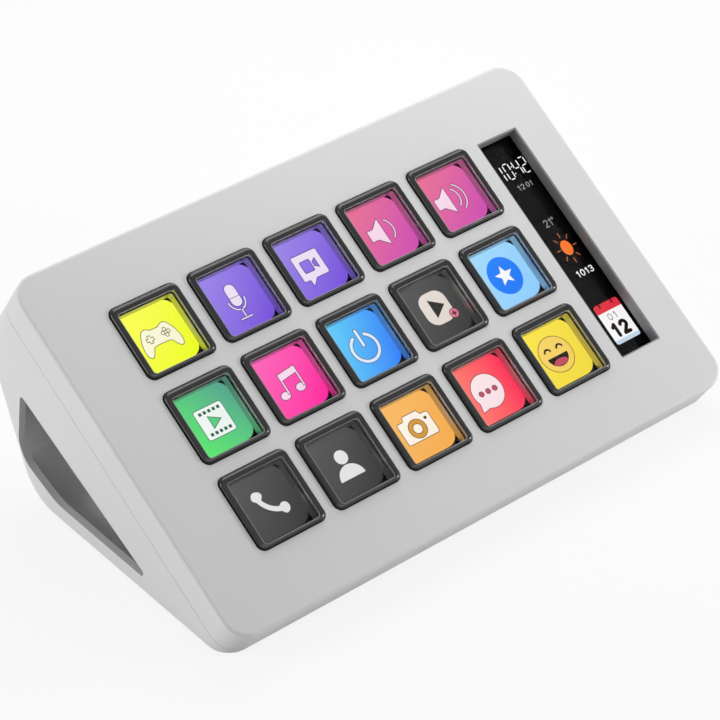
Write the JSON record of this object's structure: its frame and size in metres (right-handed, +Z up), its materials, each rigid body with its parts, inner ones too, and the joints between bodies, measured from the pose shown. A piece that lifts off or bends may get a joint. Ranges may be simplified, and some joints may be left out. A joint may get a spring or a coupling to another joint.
{
  "type": "macro keypad",
  "caption": "Desktop macro keypad: sprung display keys in a grid and a tall strip display on a sloping panel, on a hollow wedge stand open from side to side.",
  "frame": {"origin": "middle of the footprint on the table, below the feet", "axes": "+X to the right along the rows of keys, +Y to the rear, away from the user, +Z up"},
  "size_m": [0.1824, 0.109, 0.0696],
  "materials": {
    "body_white": "fine matt moulded",
    "key_rim_black": "polished, dark",
    "key_lens_clear": "clear polished plastic",
    "inner_black": "matt",
    "silicone": "matt",
    "board_green": "coated circuit board",
    "window_clear": "clear polished plastic",
    "liner_grey": "satin",
    "foam_black": "closed-cell foam",
    "display_glass": "black glass",
    "tray_metal": "rolled sheet",
    "guide_sheet": "milky sheet",
    "chip_black": "moulded",
    "socket_metal": "nickel plated",
    "socket_ivory": "moulded",
    "ribbon_amber": "film",
    "screw_steel": "blackened",
    "foot_rubber": "matt"
  },
  "bodies": {
    "base": {"front_cover": "body_white", "rear_housing": "body_white", "stand_panel": "body_white", "key_guide": "inner_black", "dome_sheet": "silicone", "switch_board": "board_green", "strip_window": "window_clear", "strip_liner": "liner_grey", "strip_gasket": "foam_black", "display_glass": "display_glass", "display_tray": "tray_metal", "light_guide": "guide_sheet", "mid_frame": "inner_black", "main_board": "board_green", "board_chips": "chip_black", "usb_socket": "socket_metal", "ribbon_sockets": "socket_ivory", "display_ribbon": "ribbon_amber", "switch_ribbon": "ribbon_amber", "guide_screws": "screw_steel", "frame_screws": "screw_steel", "housing_screws": "screw_steel", "board_screws": "screw_steel", "panel_screws": "screw_steel", "rubber_feet": "foot_rubber"},
    "key_01": {"key_rim_01": "key_rim_black", "key_lens_01": "key_lens_clear"},
    "key_02": {"key_rim_02": "key_rim_black", "key_lens_02": "key_lens_clear"},
    "key_03": {"key_rim_03": "key_rim_black", "key_lens_03": "key_lens_clear"},
    "key_04": {"key_rim_04": "key_rim_black", "key_lens_04": "key_lens_clear"},
    "key_05": {"key_rim_05": "key_rim_black", "key_lens_05": "key_lens_clear"},
    "key_06": {"key_rim_06": "key_rim_black", "key_lens_06": "key_lens_clear"},
    "key_07": {"key_rim_07": "key_rim_black", "key_lens_07": "key_lens_clear"},
    "key_08": {"key_rim_08": "key_rim_black", "key_lens_08": "key_lens_clear"},
    "key_09": {"key_rim_09": "key_rim_black", "key_lens_09": "key_lens_clear"},
    "key_10": {"key_rim_10": "key_rim_black", "key_lens_10": "key_lens_clear"},
    "key_11": {"key_rim_11": "key_rim_black", "key_lens_11": "key_lens_clear"},
    "key_12": {"key_rim_12": "key_rim_black", "key_lens_12": "key_lens_clear"},
    "key_13": {"key_rim_13": "key_rim_black", "key_lens_13": "key_lens_clear"},
    "key_14": {"key_rim_14": "key_rim_black", "key_lens_14": "key_lens_clear"},
    "key_15": {"key_rim_15": "key_rim_black", "key_lens_15": "key_lens_clear"}
  },
  "joints": [
    {"name": "key_01_press", "type": "slide", "parent": "base", "child": "key_01", "axis": [0, 0.515, -0.8572], "range_m": [0, 0.0008], "stiffness_N_per_m": 600, "springref_m": -0.0005, "deforming": ["dome_sheet"]},
    {"name": "key_02_press", "type": "slide", "parent": "base", "child": "key_02", "axis": [0, 0.515, -0.8572], "range_m": [0, 0.0008], "stiffness_N_per_m": 600, "springref_m": -0.0005, "deforming": ["dome_sheet"]},
    {"name": "key_03_press", "type": "slide", "parent": "base", "child": "key_03", "axis": [0, 0.515, -0.8572], "range_m": [0, 0.0008], "stiffness_N_per_m": 600, "springref_m": -0.0005, "deforming": ["dome_sheet"]},
    {"name": "key_04_press", "type": "slide", "parent": "base", "child": "key_04", "axis": [0, 0.515, -0.8572], "range_m": [0, 0.0008], "stiffness_N_per_m": 600, "springref_m": -0.0005, "deforming": ["dome_sheet"]},
    {"name": "key_05_press", "type": "slide", "parent": "base", "child": "key_05", "axis": [0, 0.515, -0.8572], "range_m": [0, 0.0008], "stiffness_N_per_m": 600, "springref_m": -0.0005, "deforming": ["dome_sheet"]},
    {"name": "key_06_press", "type": "slide", "parent": "base", "child": "key_06", "axis": [0, 0.515, -0.8572], "range_m": [0, 0.0008], "stiffness_N_per_m": 600, "springref_m": -0.0005, "deforming": ["dome_sheet"]},
    {"name": "key_07_press", "type": "slide", "parent": "base", "child": "key_07", "axis": [0, 0.515, -0.8572], "range_m": [0, 0.0008], "stiffness_N_per_m": 600, "springref_m": -0.0005, "deforming": ["dome_sheet"]},
    {"name": "key_08_press", "type": "slide", "parent": "base", "child": "key_08", "axis": [0, 0.515, -0.8572], "range_m": [0, 0.0008], "stiffness_N_per_m": 600, "springref_m": -0.0005, "deforming": ["dome_sheet"]},
    {"name": "key_09_press", "type": "slide", "parent": "base", "child": "key_09", "axis": [0, 0.515, -0.8572], "range_m": [0, 0.0008], "stiffness_N_per_m": 600, "springref_m": -0.0005, "deforming": ["dome_sheet"]},
    {"name": "key_10_press", "type": "slide", "parent": "base", "child": "key_10", "axis": [0, 0.515, -0.8572], "range_m": [0, 0.0008], "stiffness_N_per_m": 600, "springref_m": -0.0005, "deforming": ["dome_sheet"]},
    {"name": "key_11_press", "type": "slide", "parent": "base", "child": "key_11", "axis": [0, 0.515, -0.8572], "range_m": [0, 0.0008], "stiffness_N_per_m": 600, "springref_m": -0.0005, "deforming": ["dome_sheet"]},
    {"name": "key_12_press", "type": "slide", "parent": "base", "child": "key_12", "axis": [0, 0.515, -0.8572], "range_m": [0, 0.0008], "stiffness_N_per_m": 600, "springref_m": -0.0005, "deforming": ["dome_sheet"]},
    {"name": "key_13_press", "type": "slide", "parent": "base", "child": "key_13", "axis": [0, 0.515, -0.8572], "range_m": [0, 0.0008], "stiffness_N_per_m": 600, "springref_m": -0.0005, "deforming": ["dome_sheet"]},
    {"name": "key_14_press", "type": "slide", "parent": "base", "child": "key_14", "axis": [0, 0.515, -0.8572], "range_m": [0, 0.0008], "stiffness_N_per_m": 600, "springref_m": -0.0005, "deforming": ["dome_sheet"]},
    {"name": "key_15_press", "type": "slide", "parent": "base", "child": "key_15", "axis": [0, 0.515, -0.8572], "range_m": [0, 0.0008], "stiffness_N_per_m": 600, "springref_m": -0.0005, "deforming": ["dome_sheet"]}
  ]
}
